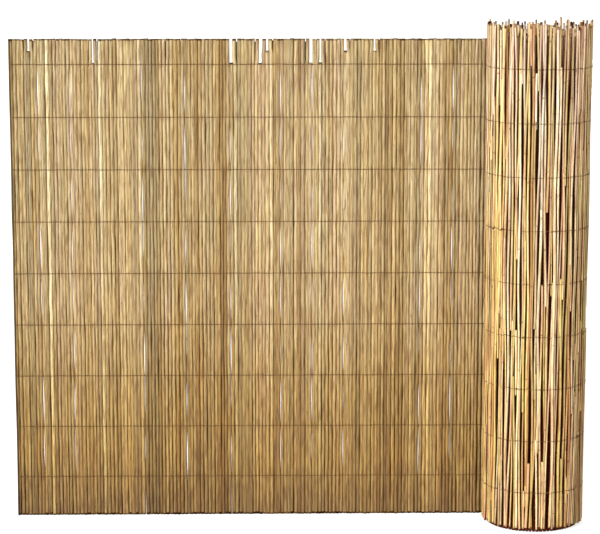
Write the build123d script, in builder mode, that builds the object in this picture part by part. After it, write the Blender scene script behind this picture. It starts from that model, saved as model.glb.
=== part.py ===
"""A reed fence, about one metre high and over four metres long, standing partly unrolled.

A row of upright reeds is held side by side by nine rows of thin wire. Most of the first metre
stands flat. It then bends back and runs into a roll of ten turns at the fence's right.
All sizes are in millimetres. The origin is at floor level, in the middle of the fence's
width and depth. +X runs from the free edge to the roll, and +Y points away from the viewer.
"""

import os
from collections import namedtuple
from math import atan2, cos, degrees, radians

from build123d import *

# Overall
fence_width = 1132.0        # from the free edge to the roll's far side, wires included
flat_height = 955.0         # the flat stretch is trimmed level at this height
roll_tops = (974.0, 983.0, 992.0, 1003.0)   # each of the roll's reeds ends at one of these

# Reeds: each is a many-sided bar, and neighbours are pressed into each other by the wire
reed_sides = 8
reed_widths = (7.9, 7.9, 7.4, 6.9, 6.9, 6.4, 6.9, 7.4, 7.4)     # in turn along the mat
reed_press = 0.3
roll_raggedness = (1, 1, 2, 0, 0, 1, 2, 2, 3, 1, 1, 0, 2, 1, 1, 0, 1, 2, 2)     # tops, in turn
broken_places = (-400.0, -130.0, -76.0, 24.0, 45.0)     # along X, reeds snapped at the top wire
chipped_places = (-527.0, -64.0, 89.0, 147.0)           # along X, reeds snapped higher up
broken_rise = 3.0           # what is left of a broken reed above the top wire
chipped_rise = 26.0         # what is left of a chipped reed above the top wire

# Wires
wire_rows = 9
first_row = 80.0            # height of the lowest row
row_spacing = 103.2
wire_thickness = 1.2
wire_play = 0.1             # between the wire and the widest reeds

# Gaps: slim spindles where neighbouring reeds bow apart between two rows of wire
gap_places = (-506.0, -449.0, -313.0, -228.0, -132.0, -37.0, 22.0, 86.0, 233.0, 301.0)
gap_width = 1.6
gap_inset = 9.0             # from the tip of a gap to the row of wire next to it

# Roll
roll_radius = 101.0         # of the mat's middle line on the outermost half turn
turn_pitch = 9.2            # from one turn to the next, middle line to middle line
half_turns = 20
band_thickness = 6.6        # of the inner turns
band_height = 968.0
band_runs = 12              # straight runs in a half turn of the band
wire_runs = 10              # straight runs in a half turn of a wire round the roll
fold_runs = 4               # straight runs where a wire doubles round the first reed
bend_runs = 2               # straight runs of each strand in the bend
wedge_depth = 20.0          # degrees that the outer reeds reach into the wedge beside the bend
bend_radius = 22.0          # of the mat's middle line where it bends back into the roll
meeting_angle = 144.0       # in degrees from +X, where on the roll the bend meets it
stretch_play = 0.5          # between the flat stretch, the bend and the roll

narrowest_reed = min(reed_widths)
widest_reed = max(reed_widths)
wire_offset = widest_reed / 2 + wire_play + wire_thickness / 2      # from the mat's middle line
half_pitch = turn_pitch / 2                                         # lost in each half turn
top_row = first_row + (wire_rows - 1) * row_spacing

# The roll's two centres: half turns behind the first and in front of the second take turns,
# and the radius of each is half a pitch less than the one before.
roll_reach = roll_radius + wire_offset + wire_thickness / 2
back_centre = Vector(fence_width / 2 - roll_reach, -half_pitch / 2)
front_centre = back_centre + Vector(half_pitch, 0)

# The bend meets the outermost half turn on the line between their centres, and starts at the
# flat stretch, nearest the viewer.
bend_centre = back_centre + Vector(roll_radius + bend_radius, 0).rotate(Axis.Z, meeting_angle)
bend_angle = meeting_angle - 90
flat_y = bend_centre.Y - bend_radius
free_edge = wire_play + wire_thickness - fence_width / 2

Reed = namedtuple("Reed", "location width top")


def reeds_along(line, start, top_of):
    """Reeds side by side from start, while their middles lie on the line, and their overshoot."""
    reeds = []
    near_side = start
    while True:
        number = len(reeds)
        width = reed_widths[number % len(reed_widths)]
        middle = near_side + width / 2
        if middle > line.length:
            return reeds, near_side + reed_press - line.length
        at = line.position_at(middle, PositionMode.LENGTH)
        along = line.tangent_at(middle, PositionMode.LENGTH)
        heading = degrees(atan2(along.Y, along.X))
        reeds.append(Reed(Location((at.X, at.Y), heading), width, top_of(number, at.X)))
        near_side += width - reed_press


def flat_top(number, x):
    """The flat stretch is trimmed level, apart from a few broken and chipped reeds."""
    if any(abs(x - place) < narrowest_reed / 2 for place in broken_places):
        return top_row + broken_rise
    if any(abs(x - place) < narrowest_reed / 2 for place in chipped_places):
        return top_row + chipped_rise
    return flat_height


def bend_top(number, x):
    """The reeds in the bend are trimmed level too."""
    return flat_height


def roll_top(number, x):
    """The roll's reeds end unevenly, a few of them much higher than the rest."""
    return roll_tops[roll_raggedness[number % len(roll_raggedness)]]


def levels_of(reeds):
    """The cross-section above each height where some reeds end, and how far up it holds."""
    levels = []
    floor = 0.0
    for top in sorted({reed.top for reed in reeds}):
        with BuildSketch(Plane.XY.offset(floor)) as section:
            for width in sorted(set(reed_widths)):
                standing = [r.location for r in reeds if r.top >= top and r.width == width]
                if standing:
                    with Locations(*standing):
                        RegularPolygon(
                            width / 2, reed_sides, major_radius=False, rotation=180 / reed_sides
                        )
        levels.append((section.sketch, top - floor))
        floor = top
    return levels


def corners_outside(centre, radius, start, sweep, count):
    """Corners of straight runs that touch an arc from outside, half a run in from its ends."""
    step = sweep / count
    reach = Vector(radius / cos(radians(step / 2)), 0)
    return [centre + reach.rotate(Axis.Z, start + step * (n + 0.5)) for n in range(count)]


def corners_inside(centre, radius, start, sweep, count):
    """Corners of straight runs that join points on an arc, its ends among them."""
    reach = Vector(radius, 0)
    return [centre + reach.rotate(Axis.Z, start + sweep * n / count) for n in range(count + 1)]


def wire_side(side):
    """Corners in plan of the line side mm outside a wire's middle line, from end to end.

    The near strand starts where the bend meets the roll and runs along the mat's front. The
    wire doubles round the first reed, and the far strand runs along the back and round the roll.
    """
    offset = wire_offset + side
    first_reed = Vector(free_edge + reed_widths[0] / 2, flat_y)
    near_radius = bend_radius + offset
    front_radius = roll_radius - half_pitch + offset
    wedge_radius = roll_radius - turn_pitch + offset
    back_runs = round(wire_runs * meeting_angle / 180)
    return [
        *corners_outside(bend_centre, near_radius, bend_angle - 90, -bend_angle, bend_runs),
        *corners_outside(first_reed, offset, -90, -180, fold_runs),
        *corners_inside(bend_centre, bend_radius - offset, -90, bend_angle, bend_runs),
        *corners_outside(
            back_centre, roll_radius + offset, meeting_angle, -meeting_angle, back_runs
        ),
        *corners_outside(front_centre, front_radius, 0, -180, wire_runs),
        *corners_outside(back_centre, wedge_radius, 180, -wedge_depth, 1),
    ]


def band_side(side):
    """Corners in plan of the line side mm outside the middle line of the roll's inner turns."""
    corners = []
    for half_turn in range(2, half_turns):
        centre = front_centre if half_turn % 2 else back_centre
        start = 0 if half_turn % 2 else 180
        radius = roll_radius - half_turn * half_pitch + side
        corners += corners_outside(centre, radius, start, -180, band_runs)
    return corners


# The mat's middle line in plan, in three stretches
flat_line = Line((free_edge, flat_y), (bend_centre.X, flat_y))
bend_line = CenterArc(bend_centre, bend_radius, -90, bend_angle)
turn_line = Wire(
    [
        CenterArc(back_centre, roll_radius, meeting_angle, -meeting_angle),
        CenterArc(front_centre, roll_radius - half_pitch, 0, -180),
        CenterArc(back_centre, roll_radius - turn_pitch, 180, -wedge_depth),
    ]
)
flat_reeds, overshoot = reeds_along(flat_line, 0.0, flat_top)
bend_reeds, overshoot = reeds_along(bend_line, overshoot + stretch_play, bend_top)
turn_reeds, overshoot = reeds_along(turn_line, overshoot + stretch_play, roll_top)

# A gap can open between any two neighbours of one width.
seams = [
    (reed.location.position.X + neighbour.location.position.X) / 2
    for reed, neighbour in zip(flat_reeds, flat_reeds[1:])
    if reed.width == neighbour.width
]

# The flat stretch, with its gaps
with BuildPart() as flat_mat:
    for section, rise in levels_of(flat_reeds):
        extrude(section, amount=rise)
    with BuildSketch(Plane.XZ.offset(-flat_y)):
        for place in gap_places:
            seam = min(seams, key=lambda x: abs(x - place))
            for row in range(wire_rows - 1):
                low = first_row + row * row_spacing + gap_inset
                high = low + row_spacing - 2 * gap_inset
                middle = (low + high) / 2
                with BuildLine():
                    Polyline(
                        (seam, low),
                        (seam + gap_width / 2, middle),
                        (seam, high),
                        (seam - gap_width / 2, middle),
                        close=True,
                    )
                make_face()
    extrude(amount=widest_reed, both=True, mode=Mode.SUBTRACT)
flat_mat.part.label = "flat_mat"

# The reeds that bend back towards the roll
with BuildPart() as bend_mat:
    for section, rise in levels_of(bend_reeds):
        extrude(section, amount=rise)
bend_mat.part.label = "bend_mat"

# The roll: its outermost turn reed by reed, and the inner turns as one spiral band
with BuildPart() as rolled_mat:
    for section, rise in levels_of(turn_reeds):
        extrude(section, amount=rise)
    with BuildSketch():
        with BuildLine():
            outside = band_side(band_thickness / 2)
            inside = band_side(-band_thickness / 2)
            Polyline(*outside, *reversed(inside), close=True)
        make_face()
    extrude(amount=band_height)
rolled_mat.part.label = "rolled_mat"

# One doubled wire for each row
os.makedirs("parts", exist_ok=True)
for row in range(wire_rows):
    with BuildPart() as wire_row:
        with BuildSketch(Plane.XY.offset(first_row + row * row_spacing)):
            with BuildLine():
                outside = wire_side(wire_thickness / 2)
                inside = wire_side(-wire_thickness / 2)
                Polyline(*outside, *reversed(inside), close=True)
            make_face()
        extrude(amount=wire_thickness / 2, both=True)
    wire_row.part.label = f"wire_row_{row + 1}"
    export_step(wire_row.part, f"parts/wire_row_{row + 1}.step")

export_step(flat_mat.part, "parts/flat_mat.step")
export_step(bend_mat.part, "parts/bend_mat.step")
export_step(rolled_mat.part, "parts/rolled_mat.step")
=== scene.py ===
"""Looks of a reed fence that stands partly unrolled: its reeds one by one, and its wires."""

from collections import namedtuple
from math import cos, pi, radians, sin

import bpy
import numpy as np
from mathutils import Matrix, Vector


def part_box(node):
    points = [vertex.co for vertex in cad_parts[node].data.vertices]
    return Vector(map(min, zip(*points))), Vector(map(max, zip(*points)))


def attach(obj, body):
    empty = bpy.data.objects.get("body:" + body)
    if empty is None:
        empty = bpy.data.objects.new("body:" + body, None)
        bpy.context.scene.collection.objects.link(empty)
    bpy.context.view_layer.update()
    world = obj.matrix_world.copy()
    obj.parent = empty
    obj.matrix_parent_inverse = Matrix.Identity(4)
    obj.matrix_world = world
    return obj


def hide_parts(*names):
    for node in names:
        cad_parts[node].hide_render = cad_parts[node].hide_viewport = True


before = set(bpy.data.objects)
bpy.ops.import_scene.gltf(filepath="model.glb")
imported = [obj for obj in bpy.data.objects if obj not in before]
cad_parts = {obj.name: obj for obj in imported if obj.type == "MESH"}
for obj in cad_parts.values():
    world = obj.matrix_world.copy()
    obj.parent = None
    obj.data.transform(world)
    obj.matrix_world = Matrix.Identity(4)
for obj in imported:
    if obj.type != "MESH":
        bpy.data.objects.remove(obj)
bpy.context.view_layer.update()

# Places, from the frame. Everything is in metres.
flat_low, flat_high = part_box("flat_mat")
roll_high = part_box("rolled_mat")[1]
free_edge = flat_low[0]
flat_y = (flat_low[1] + flat_high[1]) / 2
flat_top = flat_high[2]
wire_rows = sorted(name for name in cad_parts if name.startswith("wire_row_"))
row_heights = [(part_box(name)[0][2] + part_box(name)[1][2]) / 2 for name in wire_rows]
row_spacing = row_heights[1] - row_heights[0]
top_row = max(row_heights)

# The mat: reeds of these widths, in turn, pressed a little into each other
reed_widths = (0.0079, 0.0079, 0.0074, 0.0069, 0.0069, 0.0064, 0.0069, 0.0074, 0.0074)
roll_reed_widths = (0.0058, 0.0064, 0.0052, 0.006, 0.0068, 0.0056, 0.005, 0.0062)
reed_press = 0.0003
stretch_play = 0.0005       # between the flat stretch, the bend and the roll
bend_radius = 0.022
roll_radius = 0.101         # of the outermost half turn
turn_pitch = 0.0092
half_turns = 20
outer_half_turns = 2        # of the reeds that show from outside
meeting_angle = 144.0       # degrees, where on the roll the bend meets it
wedge_depth = 20.0          # degrees that the outer reeds reach into the wedge beside the bend
half_pitch = turn_pitch / 2
narrowest_reed = min(reed_widths)
widest_reed = max(reed_widths)
back_centre = np.array([roll_high[0] - roll_radius - widest_reed / 2, -half_pitch / 2])
front_centre = back_centre + np.array([half_pitch, 0.0])
meeting = radians(meeting_angle)
bend_centre = back_centre + (roll_radius + bend_radius) * np.array([cos(meeting), sin(meeting)])

# Tops
broken_places = (-0.400, -0.130, -0.076, 0.024, 0.045)      # along X, snapped at the top wire
chipped_places = (-0.527, -0.064, 0.089, 0.147)             # along X, snapped higher up
broken_rise = 0.003         # what is left of a broken reed above the top wire
chipped_rise = 0.026        # what is left of a chipped reed above the top wire
roll_tops = (0.974, 0.983, 0.992, 1.003)    # each of the solid's reeds ends at one of these
roll_raggedness = (1, 1, 2, 0, 0, 1, 2, 2, 3, 1, 1, 0, 2, 1, 1, 0, 1, 2, 2)     # tops, in turn

# Every reed: its rings of points, its joints, its ends, and the painted shade in its crevices and
# hollows
foot_margin = 0.03          # from the foot to the lowest of the evenly spaced rings
top_margin = 0.01           # at least, from the highest of them to the top
joint_margin = 0.02         # at least, from either end to a joint
joint_gap_spread = (0.8, 1.3)       # of a look's gap between joints, from reed to reed
joint_dark_spread = (0.3, 1.0)      # of a look's dark at a joint
joint_rings = (             # how far above a joint, share of the radius, share of the dark
    (-0.003, 1.0, 0.0),
    (-0.001, 1.07, 0.3),
    (0.0, 1.03, 1.0),
    (0.001, 1.08, 0.4),
    (0.004, 0.99, 0.0),
)
tip_dark_spread = (0.2, 1.0)        # of a look's dark at an end
tip_dark_power = 0.6                # under 1, it makes most tips darker
tip_length_spread = (0.5, 1.6)
tip_base = 0.0004           # in each dark tip's length, whatever its look
tip_fade = 0.9              # share of a tip's dark at its inner end
tip_edge = 0.0015           # from there to where the dark ends
most_taper = 0.06           # share of the radius, from the foot to the top
outward_share = 0.4         # of a reed's wander sideways, for its wander outwards
rim_share = 0.62            # of the radius, where an open end turns hollow
hollow_share = 0.9          # of the rim's radius, at the hollow's floor
hollow_depth = 0.012
# An open end's rim and its hollow's floor are painted dark, as the shade inside the hollow
rim_dark = 0.4              # of an open end's rim, and as much again in each look's full tip
crevice_shade_share = 1.3            # the most painted shade in a crevice, before it comes and goes
foot_darkening_height = 0.45      # where a look's foot darkening of the crevice shade is nought: more below, less above
foot_darkening_reach = 0.25      # how far above that height the crevice shade goes on getting less
shade_edge = 0.05           # over which a look's shade ends, going up
colour_drift = 0.06         # along a reed, as a share of its palette
colour_waves = (0.23, 0.6)
pattern_reach = 5.0         # how far at most a reed's place in the finish's pattern is moved
least_wave_share = 0.4      # of a wander's reach, in each of its waves

# The roll has a seed of its own, so that a change in the flat stretch leaves it as it is.
flat_seed = 41
roll_seed = 5
random = np.random.default_rng(flat_seed)

# Where a reed stands in the mat: its middle in plan, the way out of the mat's front, its width
Place = namedtuple("Place", "point out width")

# A reed as the wires see it. centres_at gives its middle in plan at an array of heights.
Course = namedtuple("Course", "bottom top centres_at out radius")


class Pile:
    """Many closed tubes gathered into one mesh, with what each point's finish needs.

    A point's kind is its place in the palette, its lightness and its dark: dark joints and tips,
    and painted shade in crevices and hollows. Its run is its place in the finish's pattern.
    """

    def __init__(self):
        self.points = []
        self.faces = []
        self.kinds = []
        self.runs = []
        self.count = 0

    def add(self, points, faces, kinds, runs):
        self.points.append(points)
        self.faces += [[corner + self.count for corner in face] for face in faces]
        self.kinds.append(kinds)
        self.runs.append(runs)
        self.count += len(points)

    def piece(self, name, material, slot, *nodes):
        """The whole pile as one piece, which stands for nodes of the frame.

        Its tubes are smooth, and their caps are flat.
        """
        mesh = bpy.data.meshes.new(name)
        mesh.from_pydata(np.concatenate(self.points).tolist(), [], self.faces)
        for label, values in (("kind", self.kinds), ("run", self.runs)):
            attribute = mesh.attributes.new(label, "FLOAT_VECTOR", "POINT")
            attribute.data.foreach_set("vector", np.concatenate(values).ravel())
        mesh.polygons.foreach_set("use_smooth", [len(face) == 4 for face in self.faces])
        mesh.materials.append(material)
        piece = bpy.data.objects.new(name, mesh)
        bpy.context.collection.objects.link(piece)
        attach(piece, "root")
        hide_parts(*nodes)


def ring_faces(rings, sides):
    """Faces between rings of points, one above the other, and a cap at both ends."""
    faces = [
        [
            ring * sides + side,
            ring * sides + (side + 1) % sides,
            (ring + 1) * sides + (side + 1) % sides,
            (ring + 1) * sides + side,
        ]
        for ring in range(rings - 1)
        for side in range(sides)
    ]
    faces.append(list(range(sides))[::-1])
    faces.append([(rings - 1) * sides + side for side in range(sides)])
    return faces


def wander(reach, waves):
    """A smooth random course to both sides, as a function of height or of distance."""
    phases = random.uniform(0, 2 * pi, len(waves))
    shares = random.uniform(least_wave_share, 1.0, len(waves))

    def course(heights):
        return reach * sum(
            share * np.sin(2 * pi * heights / wave + phase)
            for wave, share, phase in zip(waves, shares, phases)
        )
    return course


def reed_rings(look, bottom, top, knees, ends):
    """Heights of a reed's rings, their shares of its radius, and how dark they are."""
    joints = np.arange(
        bottom + random.uniform(joint_margin, look["joint_gap"]),
        top - joint_margin,
        look["joint_gap"] * random.uniform(*joint_gap_spread),
    )
    even = np.arange(bottom + foot_margin, top - top_margin, look["spacing"])
    rings = [(height, 1.0, 0.0) for height in (*even, *knees)]
    for end, inward, share in ((bottom, 1, ends[0]), (top, -1, ends[1])):
        dark = share * look["tip"] * random.uniform(*tip_dark_spread) ** tip_dark_power
        dark = min(dark, 1.0)
        length = share * look["tip_length"] * random.uniform(*tip_length_spread) + tip_base
        rings += [
            (end, 1.0, dark),
            (end + inward * length, 1.0, dark * tip_fade),
            (end + inward * (length + tip_edge), 1.0, 0.0),
        ]
    for joint in joints:
        dark = look["joint"] * random.uniform(*joint_dark_spread)
        rings += [(joint + rise, swell, share * dark) for rise, swell, share in joint_rings]
    return map(np.array, zip(*sorted(rings)))


def crevice_shade(look, heights):
    """Painted shade in the crevice at one side of a reed, which comes and goes along it."""
    dark_tint = random.beta(*look["crevice"]) * crevice_shade_share
    gusts = wander(look["gusts"], look["gust_waves"])(heights)
    rise = np.clip(foot_darkening_height - heights, -foot_darkening_reach, foot_darkening_height)
    return np.clip(dark_tint + gusts + look["foot_darkening"] * rise, 0, 1)


def add_reed(
    pile, place, out, radius, bottom, top, colour, look, lean=(0.0, 0.0),
    squeeze=np.zeros_like, knees=(), ends=(1.0, 1.0),
):
    """One upright hollow reed at a place in plan, its front facing out. Returns its course.

    lean is how far it leans in plan for each metre of height. squeeze gives its sideways course
    at an array of heights, and knees are the heights where that course turns. ends are the
    shares of its look's dark tips, at the foot and at the top.
    """
    side_way = np.array([-out[1], out[0]])
    heights, swells, darkness = reed_rings(look, bottom, top, knees, ends)
    taper = random.uniform(-most_taper, most_taper)
    radii = radius * swells * (1 + taper * (0.5 - (heights - bottom) / (top - bottom)))
    middle = (bottom + top) / 2
    sideways = wander(look["wander"], look["waves"])
    outward = wander(look["wander"] * outward_share, look["waves"])

    def centres_at(heights):
        return (
            place
            + np.outer(sideways(heights) + squeeze(heights), side_way)
            + np.outer(outward(heights), out)
            + np.outer(heights - middle, lean)
        )

    centres = centres_at(heights)
    right_shade = crevice_shade(look, heights)
    left_shade = crevice_shade(look, heights)

    # The open end: its rim, and the hollow's floor, both painted dark as the shade inside the
    # hollow
    rim_radius = radii[-1] * rim_share
    heights = np.append(heights, [top, top - min(hollow_depth, (top - bottom) / 3)])
    radii = np.append(radii, [rim_radius, rim_radius * hollow_share])
    darkness = np.append(darkness, [rim_dark + rim_dark * look["tip"], 1.0])
    centres = np.vstack([centres, centres[-1:], centres[-1:]])
    right_shade = np.append(right_shade, [0, 0])
    left_shade = np.append(left_shade, [0, 0])

    sides = look["sides"]
    turn = np.arange(sides) * 2 * pi / sides
    across = np.outer(radii, np.sin(turn))
    forward = np.outer(radii, np.cos(turn))
    plan = centres[:, None] + across[..., None] * side_way + forward[..., None] * out
    up = np.repeat(heights[:, None], sides, 1)
    points = np.concatenate([plan, up[..., None]], -1)
    offset = random.uniform(-pattern_reach, pattern_reach, 3)
    runs = np.stack([across + offset[0], forward + offset[1], up + offset[2]], -1)
    # Painted shade on the reed's flanks, where it meets its neighbours
    flank = np.clip((np.abs(np.sin(turn)) - look["reach"]) / (1 - look["reach"]), 0, 1)
    dark_tint = np.where(np.sin(turn) > 0, right_shade[:, None], left_shade[:, None]) * flank
    # Below a look's shaded height the reed is painted dark, as the shade it stands in
    if look["shaded"]:
        shade = look["shade"] * np.clip((look["shaded"] - up) / shade_edge, 0, 1)
        dark_tint = np.maximum(dark_tint, shade)
    kinds = np.empty((len(heights), sides, 3))
    kinds[..., 0] = colour + wander(colour_drift, colour_waves)(heights)[:, None]
    kinds[..., 1] = random.uniform(0, 1)
    kinds[..., 2] = np.maximum(darkness[:, None], dark_tint)
    pile.add(
        points.reshape(-1, 3),
        ring_faces(len(heights), sides),
        kinds.reshape(-1, 3),
        runs.reshape(-1, 3),
    )
    return Course(bottom, top, centres_at, out, radius)


# The mat's middle line in plan


def arc_length(radius, sweep):
    return radius * abs(radians(sweep))


def straight(start, end):
    """A straight run whose front faces the viewer: its length, and its places by share."""
    start, end = np.array(start), np.array(end)

    def place(share):
        return start + share * (end - start), np.array([0.0, -1.0])
    return np.linalg.norm(end - start), place


def arc(centre, radius, start, sweep):
    """A run round a centre that its back faces: its length, and its places by share."""
    def place(share):
        angle = radians(start + sweep * share)
        out = np.array([cos(angle), sin(angle)])
        return centre + radius * out, out
    return arc_length(radius, sweep), place


class Route:
    """Straight runs and arcs, one after another."""

    def __init__(self, *parts):
        self.parts = parts
        self.length = sum(length for length, place in parts)

    def at(self, distance):
        """The point at a distance along, and the way out of the mat's front there."""
        for length, place in self.parts:
            if distance <= length:
                return place(distance / length)
            distance -= length
        return place(1.0 + distance / length)


def places_along(route, start, widths=reed_widths):
    """Places of the reeds side by side along a route, and their overshoot."""
    places = []
    near_side = start
    while True:
        width = widths[len(places) % len(widths)]
        middle = near_side + width / 2
        if middle > route.length:
            return places, near_side + reed_press - route.length
        point, out = route.at(middle)
        places.append(Place(point, out, width))
        near_side += width - reed_press


flat_route = Route(straight((free_edge, flat_y), (bend_centre[0], flat_y)))
bend_route = Route(arc(bend_centre, bend_radius, -90, meeting_angle - 90))
turn_route = Route(
    arc(back_centre, roll_radius, meeting_angle, -meeting_angle),
    arc(front_centre, roll_radius - half_pitch, 0, -180),
    arc(back_centre, roll_radius - turn_pitch, 180, -wedge_depth),
)
inner_route = Route(
    *[
        arc(
            front_centre if half_turn % 2 else back_centre,
            roll_radius - half_turn * half_pitch,
            0 if half_turn % 2 else 180,
            -180,
        )
        for half_turn in range(outer_half_turns, half_turns)
    ]
)
wedge_length = arc_length(roll_radius - turn_pitch, wedge_depth)
flat_places, overshoot = places_along(flat_route, 0.0)
bend_places, overshoot = places_along(bend_route, overshoot + stretch_play)
turn_places, _ = places_along(turn_route, overshoot + stretch_play, roll_reed_widths)
inner_places, _ = places_along(inner_route, wedge_length)


# Finishes
mix_amount, mix_first, mix_second, mix_result = 0, 6, 7, 2      # a colour mix node's sockets


class Finish:
    """A material's node tree, whose nodes are added together with what feeds them."""

    def __init__(self, name):
        self.material = bpy.data.materials.new(name)
        self.material.use_nodes = True
        self.tree = self.material.node_tree
        self.shader = self.tree.nodes["Principled BSDF"]

    def feed(self, node, inputs):
        """Links a node's inputs from other nodes, or sets them to values."""
        for key, value in inputs.items():
            if isinstance(value, bpy.types.NodeSocket):
                self.tree.links.new(value, node.inputs[key])
            else:
                node.inputs[key].default_value = value

    def node(self, kind, inputs, **settings):
        node = self.tree.nodes.new(kind)
        for key, value in settings.items():
            setattr(node, key, value)
        self.feed(node, inputs)
        return node

    def attribute(self, name):
        """What a pile wrote on its points."""
        return self.node("ShaderNodeAttribute", {}, attribute_name=name).outputs["Vector"]

    def split(self, vector):
        return self.node("ShaderNodeSeparateXYZ", {"Vector": vector}).outputs

    def noise(self, vector, scale, detail):
        inputs = {"Vector": vector, "Scale": scale, "Detail": detail}
        return self.node("ShaderNodeTexNoise", inputs).outputs[0]

    def drawn_out(self, vector, share):
        """A pattern's places with their heights made less, which draws the pattern out."""
        inputs = {"Vector": vector, "Scale": (1.0, 1.0, share)}
        return self.node("ShaderNodeMapping", inputs).outputs[0]

    def ramp(self, source, stops):
        node = self.node("ShaderNodeValToRGB", {0: source})
        elements = node.color_ramp.elements
        while len(elements) < len(stops):
            elements.new(0.5)
        for element, (place, colour) in zip(elements, stops):
            element.position = place
            element.color = (*colour, 1.0)
        return node.outputs[0]

    def mix(self, kind, amount, first, second):
        inputs = {mix_amount: amount, mix_first: first, mix_second: second}
        node = self.node("ShaderNodeMix", inputs, data_type="RGBA", blend_type=kind)
        return node.outputs[mix_result]


def linear(*channels):
    """A colour of 0 to 255 a channel, as a shader takes it, by the formula of sRGB."""
    shares = [channel / 255 for channel in channels]
    return tuple(
        share / 12.92 if share <= 0.04045 else ((share + 0.055) / 1.055) ** 2.4
        for share in shares
    )


def grey(share):
    return (share,) * 3


# Stops of each ramp: a place from 0 to 1, and the colour there
flat_palette = (
    (0.00, linear(84, 76, 40)),
    (0.12, linear(168, 134, 80)),
    (0.26, linear(196, 168, 112)),
    (0.40, linear(190, 170, 130)),
    (0.54, linear(214, 190, 138)),
    (0.68, linear(206, 180, 146)),
    (0.82, linear(226, 205, 156)),
    (1.00, linear(242, 228, 188)),
)
roll_palette = (
    (0.00, linear(188, 138, 92)),
    (0.09, linear(222, 176, 120)),
    (0.18, linear(236, 206, 146)),
    (0.30, linear(218, 204, 130)),
    (0.42, linear(248, 228, 172)),
    (0.54, linear(236, 190, 162)),
    (0.66, linear(253, 238, 200)),
    (0.78, linear(246, 212, 184)),
    (0.90, linear(255, 247, 224)),
    (1.00, linear(252, 232, 196)),
)
# What a reed's colour is multiplied by at a height in metres: browner towards the foot
flat_fade = (
    (0.00, (0.436, 0.335, 0.176)),
    (0.12, (0.63, 0.51, 0.263)),
    (0.25, (0.715, 0.619, 0.389)),
    (0.45, (0.85, 0.813, 0.727)),
    (0.65, (0.856, 0.851, 0.792)),
)
roll_fade = (
    (0.00, (0.88, 0.78, 0.55)),
    (0.35, (0.95, 0.88, 0.66)),
    (0.65, (1.0, 0.97, 0.84)),
    (0.95, (1.0, 1.0, 1.0)),
)
lightness = ((0.0, grey(0.72)), (1.0, grey(1.12)))  # from the darkest reed to the lightest
blotch_colours = ((0.35, (0.78, 0.70, 0.60)), (0.62, grey(1.0)))
streak_colours = ((0.40, (0.46, 0.34, 0.22)), (0.54, grey(1.0)))
darkest_deepening = ((0.85, grey(1.0)), (1.0, grey(0.22)))       # makes the darkest marks darker still: the painted shade in hollows and crevices, and the darkest tips
gloss = ((0.1, grey(0.5)), (0.6, grey(0.04)))       # from clean to dark, where the dark is joints, tips and painted shade
rust = ((0.35, (0.085, 0.036, 0.009)), (0.7, (0.20, 0.098, 0.028)))
rust_roughness = ((0.3, grey(0.75)), (0.7, grey(0.5)))
rust_gloss = 0.25

# Patterns
pattern_detail = 2.0
streak_scale = 560.0
streak_share = 0.055        # of their heights, which draws streaks out along the reed
blotch_scale = 24.0
blotch_share = 0.4
blotch_strength = 0.6
bump_strength = 0.35
bump_depth = 0.0003
rust_scale = 260.0
rust_detail = 3.0


def reed_finish(name, palette, fade, dark_tint, streak_strength, smoothest, roughest):
    """Dry reed: a colour of its own for each, streaks along it, dark joints and tips, and painted
    shade in hollows and crevices.
    """
    finish = Finish(name)
    colour_place, light, dark = finish.split(finish.attribute("kind"))
    run = finish.attribute("run")
    streaks = finish.noise(finish.drawn_out(run, streak_share), streak_scale, pattern_detail)
    blotches = finish.noise(finish.drawn_out(run, blotch_share), blotch_scale, pattern_detail)
    height = finish.split(finish.node("ShaderNodeTexCoord", {}).outputs["Object"])[2]
    base = finish.ramp(colour_place, palette)
    for strength, source, stops in (
        (1.0, light, lightness),
        (blotch_strength, blotches, blotch_colours),
        (streak_strength, streaks, streak_colours),
        (1.0, height, fade),
    ):
        base = finish.mix("MULTIPLY", strength, base, finish.ramp(source, stops))
    # The dark channel mixes in the dark tint: dark joints and tips, and painted shade
    base = finish.mix("MIX", dark, base, (*dark_tint, 1.0))
    base = finish.mix("MULTIPLY", 1.0, base, finish.ramp(dark, darkest_deepening))
    roughness = ((0.3, grey(roughest)), (0.7, grey(smoothest)))
    bump = {"Height": streaks, "Strength": bump_strength, "Distance": bump_depth}
    looks = {
        "Base Color": base,
        "Roughness": finish.ramp(streaks, roughness),
        "Specular IOR Level": finish.ramp(dark, gloss),
        "Normal": finish.node("ShaderNodeBump", bump).outputs[0],
    }
    finish.feed(finish.shader, looks)
    return finish.material


def wire_finish():
    """Thin annealed wire, dull and rusty brown."""
    finish = Finish("wire_finish")
    spots = finish.noise(finish.attribute("run"), rust_scale, rust_detail)
    looks = {
        "Base Color": finish.ramp(spots, rust),
        "Roughness": finish.ramp(spots, rust_roughness),
        "Specular IOR Level": rust_gloss,
    }
    finish.feed(finish.shader, looks)
    return finish.material


# Each dark tint is the colour of the finish's dark joints and tips and of its painted shade
flat_finish = reed_finish(
    "flat_reeds_finish", flat_palette, flat_fade, dark_tint=(0.030, 0.011, 0.003),
    streak_strength=0.8, smoothest=0.42, roughest=0.62,
)
# The roll's dark tint is the dark red-brown of the painted shade in the gaps between its reeds
roll_finish = reed_finish(
    "roll_reeds_finish", roll_palette, roll_fade, dark_tint=(0.085, 0.010, 0.003),
    streak_strength=0.6, smoothest=0.3, roughest=0.5,
)
# The inner reeds' dark tint is the dark red of the painted shade inside the roll, seen through the
# gaps
inner_finish = reed_finish(
    "inner_reeds_finish", roll_palette, roll_fade, dark_tint=(0.15, 0.014, 0.005),
    streak_strength=0.6, smoothest=0.5, roughest=0.7,
)
wire_material = wire_finish()

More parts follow.
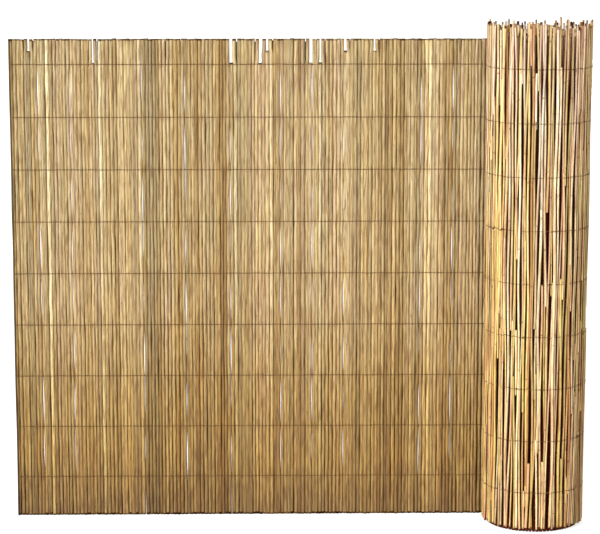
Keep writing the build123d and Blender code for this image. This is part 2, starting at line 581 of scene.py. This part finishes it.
# How the reeds of each stretch look
flat_look = {
    "sides": 12,
    "spacing": 0.027,           # between rings of points
    "wander": 0.0004,           # how far a reed strays from a straight course
    "waves": (0.15, 0.31),      # the lengths of that course's waves
    "joint_gap": 0.3,
    "joint": 0.2,               # how dark a joint is
    "tip": 0.95,                # how dark an end is
    "tip_length": 0.0018,
    "crevice": (0.5, 1.0),      # the beta distribution that the painted shade in crevices follows
    "reach": 0.5,               # share of the radius, to the side, where that painted shade starts
    "foot_darkening": 1.8,            # for each metre, more of it towards the foot
    "gusts": 0.8,               # how much it comes and goes along the reed
    "gust_waves": (0.09, 0.19),
    "shaded": 0.0,              # height under which a reed lies in shade, if any
}
roll_look = {
    "sides": 12,
    "spacing": 0.03,
    "wander": 0.0016,
    "waves": (0.34, 0.9),
    "joint_gap": 0.22,
    "joint": 0.95,
    "tip": 1.0,
    "tip_length": 0.0034,
    "crevice": (2.0, 1.1),
    "reach": 0.45,
    "foot_darkening": 0.0,
    "gusts": 0.4,
    "gust_waves": (0.13, 0.31),
    "shaded": 0.0,
}
inner_look = {
    "sides": 8,
    "spacing": 0.12,
    "wander": 0.0002,
    "waves": (0.4, 0.9),
    "joint_gap": 0.4,
    "joint": 0.5,
    "tip": 0.8,
    "tip_length": 0.002,
    "crevice": (2.0, 1.5),
    "reach": 0.5,
    "foot_darkening": 0.0,
    "gusts": 0.3,
    "gust_waves": (0.3, 0.5),
    "shaded": 0.98,
    "shade": 0.95,              # how dark that shade is
}
thin_waves = (0.2, 0.5)
# A reed beside a gap has no evenly spaced rings, but has its own where the gap turns.
gap_look = dict(flat_look, spacing=1.0, crevice=(0.5, 5.0), gusts=0.1, foot_darkening=0.6)
seam_look = dict(
    roll_look, sides=6, spacing=0.05, wander=0.0003, waves=thin_waves, joint=0.2,
    crevice=(1.0, 2.0), tip=0.8, tip_length=0.002, foot_darkening=1.8,
)
# Thin reeds behind the seams, painted dark all over as the shade they stand in
filler_look = dict(
    inner_look, shaded=1.01, shade=0.7, spacing=0.05, wander=0.0003, waves=thin_waves
)


# The flat stretch and the bend


def flat_reed_top(x):
    """The flat stretch is trimmed level, apart from a few broken and chipped reeds."""
    if any(abs(x - place) < narrowest_reed / 2 for place in broken_places):
        return top_row + broken_rise
    if any(abs(x - place) < narrowest_reed / 2 for place in chipped_places):
        return top_row + chipped_rise
    return flat_top


stretch = flat_places + bend_places
tops = [flat_reed_top(here.point[0]) for here in stretch]
missing = [top < flat_top for top in tops]
closing = 0.0018            # how far a reed closes in on the place of a broken neighbour
closing_rise = 0.012        # over which it does so

# Gaps: between two rows of wire, the reeds on both sides of some seams bow apart
gap_places = (-0.506, -0.449, -0.313, -0.228, -0.132, -0.037, 0.022, 0.086, 0.233, 0.301)
gap_bow = 0.0006            # of each reed, half way between two rows
gap_slimness = 1.5          # power of the half sine wave that gives a gap its outline
seams = [(here.point[0] + there.point[0]) / 2 for here, there in zip(stretch, stretch[1:])]
even_seams = [
    number
    for number, (here, there) in enumerate(zip(flat_places, flat_places[1:]))
    if here.width == there.width
]
gap_seams = {
    min(even_seams, key=lambda number: abs(seams[number] - place)) for place in gap_places
}
knee_step = row_spacing / 4
gap_knees = np.arange(row_heights[0], top_row + knee_step / 2, knee_step)


def closing_in(way, above):
    """A reed's sideways course towards the place of a broken neighbour, above that one's top."""
    def squeeze(heights):
        return way * closing * np.clip((heights - above) / closing_rise, 0, 1)
    return squeeze


def bowing(way):
    """A reed's sideways course away from a gap beside it, between each two rows of wire."""
    def squeeze(heights):
        rows = (heights - row_heights[0]) / row_spacing
        inside = (rows > 0) & (rows < len(row_heights) - 1)
        return way * gap_bow * inside * np.sin(pi * (rows % 1)) ** gap_slimness
    return squeeze


tone = 0.5                  # where in the palette the flat stretch's reeds lie on average
tone_spread = 0.23
tone_limits = (0.16, 0.97)
tone_drift = wander(0.08, (0.11, 0.19, 0.43))       # of that average, along the flat stretch
flat_radius_spread = (0.98, 1.06)
gap_radius_share = 0.99     # of a reed beside a gap
flat_depth_spread = 0.0005
flat_foot_spread = (0, 0.0006)
flat_top_spread = 0.0003
flat_ends = (1.4, 1.0)      # shares of the look's dark tips, at the foot and at the top
flat_pile = Pile()
flat_courses = []
for number, (point, out, width) in enumerate(stretch):
    squeeze = np.zeros_like
    knees = ()
    for way, neighbour in ((-1, number - 1), (1, number + 1)):
        if 0 <= neighbour < len(stretch) and missing[neighbour] and not missing[number]:
            above = tops[neighbour] - closing_rise / 2
            squeeze = closing_in(way, above)
            knees = (above, above + closing_rise)
    beside_gap = number in gap_seams or number - 1 in gap_seams
    if beside_gap:
        squeeze = bowing(-1 if number in gap_seams else 1)
        knees = gap_knees[gap_knees < tops[number]]
    share = gap_radius_share if beside_gap else random.uniform(*flat_radius_spread)
    colour = np.clip(random.normal(tone + tone_drift(point[0]), tone_spread), *tone_limits)
    place = point + out * random.normal(0, flat_depth_spread)
    foot = random.uniform(*flat_foot_spread)
    top = tops[number] + random.normal(0, flat_top_spread)
    flat_courses.append(
        add_reed(
            flat_pile, place, out, width / 2 * share, foot, top, colour,
            gap_look if beside_gap else flat_look, squeeze=squeeze, knees=knees, ends=flat_ends,
        )
    )

# Thin reeds caught behind the seams, painted dark as the shade there, and some in front, apart from
# the seams that stand open
thin_radius = 0.0019
thin_drop = (0.001, 0.006)          # from the wide reeds' tops
thin_tones = (0, 0.5)               # the darker half of the palette
front_share = 0.3                   # of the seams
front_radii = (0.0011, 0.0019)
front_tone_spread = 0.25
front_tone_limits = (0.16, 1)
front_depths = (0.0008, 0.0018)     # of their middles, in front of the wide reeds' middles
front_play = (0, 0.001)             # at the foot and at the top
seam_pile = Pile()
for number, (here, there) in enumerate(zip(stretch, stretch[1:])):
    if number in gap_seams:
        continue
    seam = (here.point + there.point) / 2
    out = here.out
    top = min(tops[number], tops[number + 1])
    add_reed(
        seam_pile, seam - out * thin_radius, out, thin_radius, 0.0,
        top - random.uniform(*thin_drop), random.uniform(*thin_tones), filler_look,
    )
    if random.uniform() < front_share:
        radius = random.uniform(*front_radii)
        colour = random.normal(tone + tone_drift(seam[0]), front_tone_spread)
        place = seam + out * random.uniform(*front_depths)
        foot = random.uniform(*front_play)
        top -= random.uniform(*front_play)
        add_reed(
            seam_pile, place, out, radius, foot, top, np.clip(colour, *front_tone_limits), seam_look
        )

# A dark one at the free edge
edge_radius = 0.0019
edge_depth = 0.0027                 # in front of the wide reeds' middles
edge_drop = 0.001
edge_tone = -0.1                    # before the palette's start, which keeps it dark
first = stretch[0]
edge_place = first.point + np.array([edge_radius - first.width / 2, -edge_depth])
add_reed(
    seam_pile, edge_place, first.out, edge_radius, 0.0, flat_top - edge_drop, edge_tone, seam_look
)
flat_pile.piece("flat_reeds", flat_finish, "reed", "flat_mat", "bend_mat")
seam_pile.piece("seam_reeds", flat_finish, "reed", "flat_mat", "bend_mat")

# The roll: its outer reeds are loose and ragged, and most are pieced from two or more lengths
flare = 0.003               # how far the roll opens outwards in each metre of height
slip = 0.04                 # how much higher the reeds stand for each metre towards the viewer
middle_top = 0.986
middle_foot = 0.0042
least_foot = 0.0004
top_share = 0.45            # of the solid's raggedness, for the many thinner reeds here
roll_top_spread = 0.0018
roll_foot_spread = 0.0014
cut_chances = (0.15, 0.4, 0.3, 0.15)    # of no cut, one cut and so on
cut_heights = (0.06, 0.94)
piece_overlap = (0.01, 0.05)
roll_radius_spread = (0.61, 0.88)
sways = (0.004, 0.014)      # how far a piece leans sideways: most of them, and the loose ones
loose_chance = 0.25
loose_width = 0.7           # the most that a loose piece's outward way goes along X
sway_limit = 0.018          # for each metre of a piece's length
least_sway_length = 0.3     # for that limit, a shorter piece counts as this long
least_lean_length = 0.4     # for its lean, a shorter piece counts as this long
flare_spread = 0.001
roll_depths = (-0.0018, 0.0010)     # of the pieces' middles, outwards from the mat's middle line
side_spread = 0.0006
long_tip_chance = 0.5
tip_shares = (0.5, 1.4)     # of the look's dark tip, on a top end: a short one and a long one
foot_shares = (0.2, 1.0)    # of it, on a reed's foot
cut_foot_share = 0.25       # of it, at the lower end of a piece that stands on another
cut_top_share = 0.3         # of it, at the upper end of a piece under another
upper_height = 0.65         # above which a piece's middle has the upper range of the palette
# Ranges of the palette in the lower part and in the upper, up to an outward way along X: painted
# light in the upper part of the reeds that face left, towards the key light, and painted shade on
# the reeds that face right, away from it
roll_light_and_shade_tones = (
    (-0.8, (0.1, 0.6), (0.3, 0.85)),
    (0.4, (0, 1), (0, 1)),
    (0.8, (0, 0.8), (0, 0.8)),
    (1.0, (0, 0.45), (0, 0.45)),
)

random = np.random.default_rng(roll_seed)
roll_pile = Pile()
roll_courses = []
for number, (point, out, width) in enumerate(turn_places):
    side = np.array([-out[1], out[0]])
    ragged = roll_tops[roll_raggedness[number % len(roll_raggedness)]] - roll_tops[1]
    lift = -slip * point[1]
    lower_tones, upper_tones = next(tones for limit, *tones in roll_light_and_shade_tones if out[0] <= limit)
    top = middle_top + lift + top_share * ragged + random.normal(0, roll_top_spread)
    bottom = max(middle_foot + lift + random.normal(0, roll_foot_spread), least_foot)
    cuts = sorted(random.uniform(*cut_heights, random.choice(len(cut_chances), p=cut_chances)))
    levels = [bottom, *cuts, top]
    for low, high in zip(levels, levels[1:]):
        lowest, highest = low == levels[0], high == levels[-1]
        length = high - low
        middle = (low + high) / 2
        radius = width / 2 * random.uniform(*roll_radius_spread)
        loose = random.uniform() < loose_chance and abs(out[0]) < loose_width
        reach = sway_limit * max(length, least_sway_length)
        sideways = np.clip(random.normal(0, sways[1] if loose else sways[0]), -reach, reach)
        outwards = flare + random.normal(0, flare_spread)
        lean = side * sideways / max(length, least_lean_length) + out * outwards
        place = point + out * (random.uniform(*roll_depths) + flare * middle)
        place = place + side * random.normal(0, side_spread)
        top_end = tip_shares[1] if random.uniform() < long_tip_chance else tip_shares[0]
        foot = low if lowest else low - random.uniform(*piece_overlap)
        # Painted light and shade: lighter tones where the reed faces the key light, darker where it
        # faces away
        colour = random.uniform(*(upper_tones if middle > upper_height else lower_tones))
        foot_end = random.uniform(*foot_shares) if lowest else cut_foot_share
        roll_courses.append(
            add_reed(
                roll_pile, place, out, radius, foot, high, colour, roll_look, lean,
                ends=(foot_end, top_end if highest else cut_top_share),
            )
        )
roll_pile.piece("roll_reeds", roll_finish, "reed", "rolled_mat")

# The inner turns: by their look, painted dark as shade below near their tops
inner_radius_spread = (0.8, 1.0)
inner_top = 0.966
inner_top_spread = 0.006
inner_pile = Pile()
for point, out, width in inner_places:
    radius = width / 2 * random.uniform(*inner_radius_spread)
    top = inner_top + random.normal(0, inner_top_spread)
    add_reed(inner_pile, point, out, radius, 0.0, top, random.uniform(0, 1), inner_look)
inner_pile.piece("inner_reeds", inner_finish, "reed", "rolled_mat")

# Wires: a strand in front of the reeds and one behind them, crossing between reeds. A strand
# strays to a reed's other side with a chance, sags a little, and bends at these degrees round it.
Strand = namedtuple("Strand", "radius stray sag wraps")
flat_strand = Strand(0.0006, 0.0, 0.0002, (-26, 0, 26))
roll_strand = Strand(0.00045, 0.16, 0.0007, (-68, -34, 0, 34, 68))
strand_sides = 5
sag_waves = (0.05, 0.17)    # lengths of the waves in which a strand sags
sag_step = 0.007            # from reed to reed along the waves

# Knots: a wire's twists round both strands. Each row has its own, by degrees round the roll
# from the viewer, leftwards.
knots = {0: (-48,), 1: (-52,), 3: (20,), 5: (62, 50, -58), 7: (12,), 8: (-30,)}
knot_turns = 3.5
knot_length = 0.0055
knot_reach = 0.0011         # radius of its turns
knot_slant = 0.004          # from its one end up to its other
knot_steps = 36             # points along it


def add_strand(pile, path, radius):
    """A round wire along a path of points."""
    path = np.asarray(path)
    ahead = np.gradient(path, axis=0)
    ahead /= np.linalg.norm(ahead, axis=1)[:, None]
    side = np.cross(ahead, [0.0, 0.0, 1.0])
    side /= np.linalg.norm(side, axis=1)[:, None]
    above = np.cross(side, ahead)
    turn = np.arange(strand_sides) * 2 * pi / strand_sides
    rings = path[:, None] + radius * (
        np.cos(turn)[None, :, None] * side[:, None] + np.sin(turn)[None, :, None] * above[:, None]
    )
    kinds = np.zeros((len(path) * strand_sides, 3))
    kinds[:, 0] = random.uniform(0, 1)
    points = rings.reshape(-1, 3)
    pile.add(points, ring_faces(len(path), strand_sides), kinds, points)


def strand_path(courses, height, facing, strand):
    """A strand's points past each reed that stands at a height."""
    path = []
    rise = wander(strand.sag, sag_waves)
    for number, course in enumerate(courses):
        if not course.bottom < height < course.top:
            continue
        centre = course.centres_at(np.array([height]))[0]
        along = np.array([-course.out[1], course.out[0]])
        facing_here = -facing if random.uniform() < strand.stray else facing
        reach = course.radius + strand.radius
        z = height + rise(number * sag_step)
        for angle in map(radians, strand.wraps):
            way = along * sin(angle) + course.out * facing_here * cos(angle)
            path.append([*(centre + reach * way), z])
    return path


def add_knot(pile, course, height, radius):
    """A few turns of wire round both strands, in front of a reed."""
    centre = course.centres_at(np.array([height]))[0] + course.out * (course.radius + 2 * radius)
    along = np.array([-course.out[1], course.out[0]])
    angles = np.linspace(0, 2 * pi * knot_turns, knot_steps)
    shares = np.linspace(0, 1, knot_steps)
    path = []
    for angle, share in zip(angles, shares):
        sideways = along * (share - 0.5) * knot_length
        spot = centre + sideways + course.out * knot_reach * (1 + cos(angle))
        z = height + knot_reach * sin(angle) + knot_slant * (share - 0.5)
        path.append([*spot, z])
    add_strand(pile, path, radius)


for row, (name, height) in enumerate(zip(wire_rows, row_heights)):
    pile = Pile()
    for facing in (1.0, -1.0):
        for courses, strand in ((flat_courses, flat_strand), (roll_courses, roll_strand)):
            add_strand(pile, strand_path(courses, height, facing, strand), strand.radius)
    standing = [course for course in roll_courses if course.bottom < height < course.top]
    for turn in knots.get(row, ()):
        angle = radians(-90 - turn)
        wanted = np.array([cos(angle), sin(angle)])
        nearest = max(standing, key=lambda course: course.out @ wanted)
        add_knot(pile, nearest, height, roll_strand.radius)
    pile.piece(name + "_strands", wire_material, "wire", name)

# Stage
floor_size = 400.0
floor_looks = {
    "Base Color": (*grey(0.4), 1.0),
    "Emission Color": (*grey(1.0), 1.0),
    "Emission Strength": 0.8,
    "Roughness": 0.9,
}
bpy.ops.mesh.primitive_plane_add(size=floor_size)
floor = bpy.context.object
floor.name = "floor"
floor_finish = Finish("floor_finish")
floor_finish.feed(floor_finish.shader, floor_looks)
floor.data.materials.append(floor_finish.material)

# Light from all round, and what the camera sees behind the object
fill_strength = 0.36
fill_colour = (1.0, 0.93, 0.80)
backdrop_strength = 1.0
world = bpy.data.worlds.new("studio")
bpy.context.scene.world = world
world.use_nodes = True
nodes = world.node_tree.nodes
rays = nodes.new("ShaderNodeLightPath")
sky = nodes.new("ShaderNodeMix")
sky.data_type = "RGBA"
sky.inputs[mix_first].default_value = (*(fill_strength * share for share in fill_colour), 1.0)
sky.inputs[mix_second].default_value = (*grey(backdrop_strength), 1.0)
world.node_tree.links.new(rays.outputs["Is Camera Ray"], sky.inputs[mix_amount])
world.node_tree.links.new(sky.outputs[mix_result], nodes["Background"].inputs[0])
bpy.context.scene.view_settings.view_transform = "Standard"
bpy.context.scene.view_settings.look = "None"


def sunlight(name, azimuth, elevation, strength, softness):
    """A distant light, with its azimuth left of the viewer and its elevation in degrees."""
    light = bpy.data.lights.new(name, "SUN")
    light.energy = strength
    light.angle = radians(softness)
    lamp = bpy.data.objects.new(name, light)
    bpy.context.collection.objects.link(lamp)
    azimuth, elevation = radians(azimuth), radians(elevation)
    level = cos(elevation)
    aim = Vector((level * sin(azimuth), level * cos(azimuth), -sin(elevation)))
    lamp.rotation_euler = aim.to_track_quat("-Z", "Y").to_euler()


sunlight("key", azimuth=41.0, elevation=29.2136, strength=3.85, softness=9.0)
sunlight("back", azimuth=180.0, elevation=35.2644, strength=1.6, softness=20.0)

# Camera
camera_place = (-0.0778, -4.33, 1.2441)
camera_pitch = 9.592        # degrees down
camera_yaw = -1.048         # degrees, to the left
focal_length = 2242.6       # in pixels
frame_width = 600           # in pixels
camera = bpy.data.cameras.new("camera")
camera.sensor_fit = "HORIZONTAL"
camera.sensor_width = 36.0
camera.lens = focal_length / frame_width * camera.sensor_width
viewer = bpy.data.objects.new("camera", camera)
bpy.context.collection.objects.link(viewer)
viewer.location = camera_place
viewer.rotation_euler = (radians(90 - camera_pitch), 0.0, radians(camera_yaw))
bpy.context.scene.camera = viewer
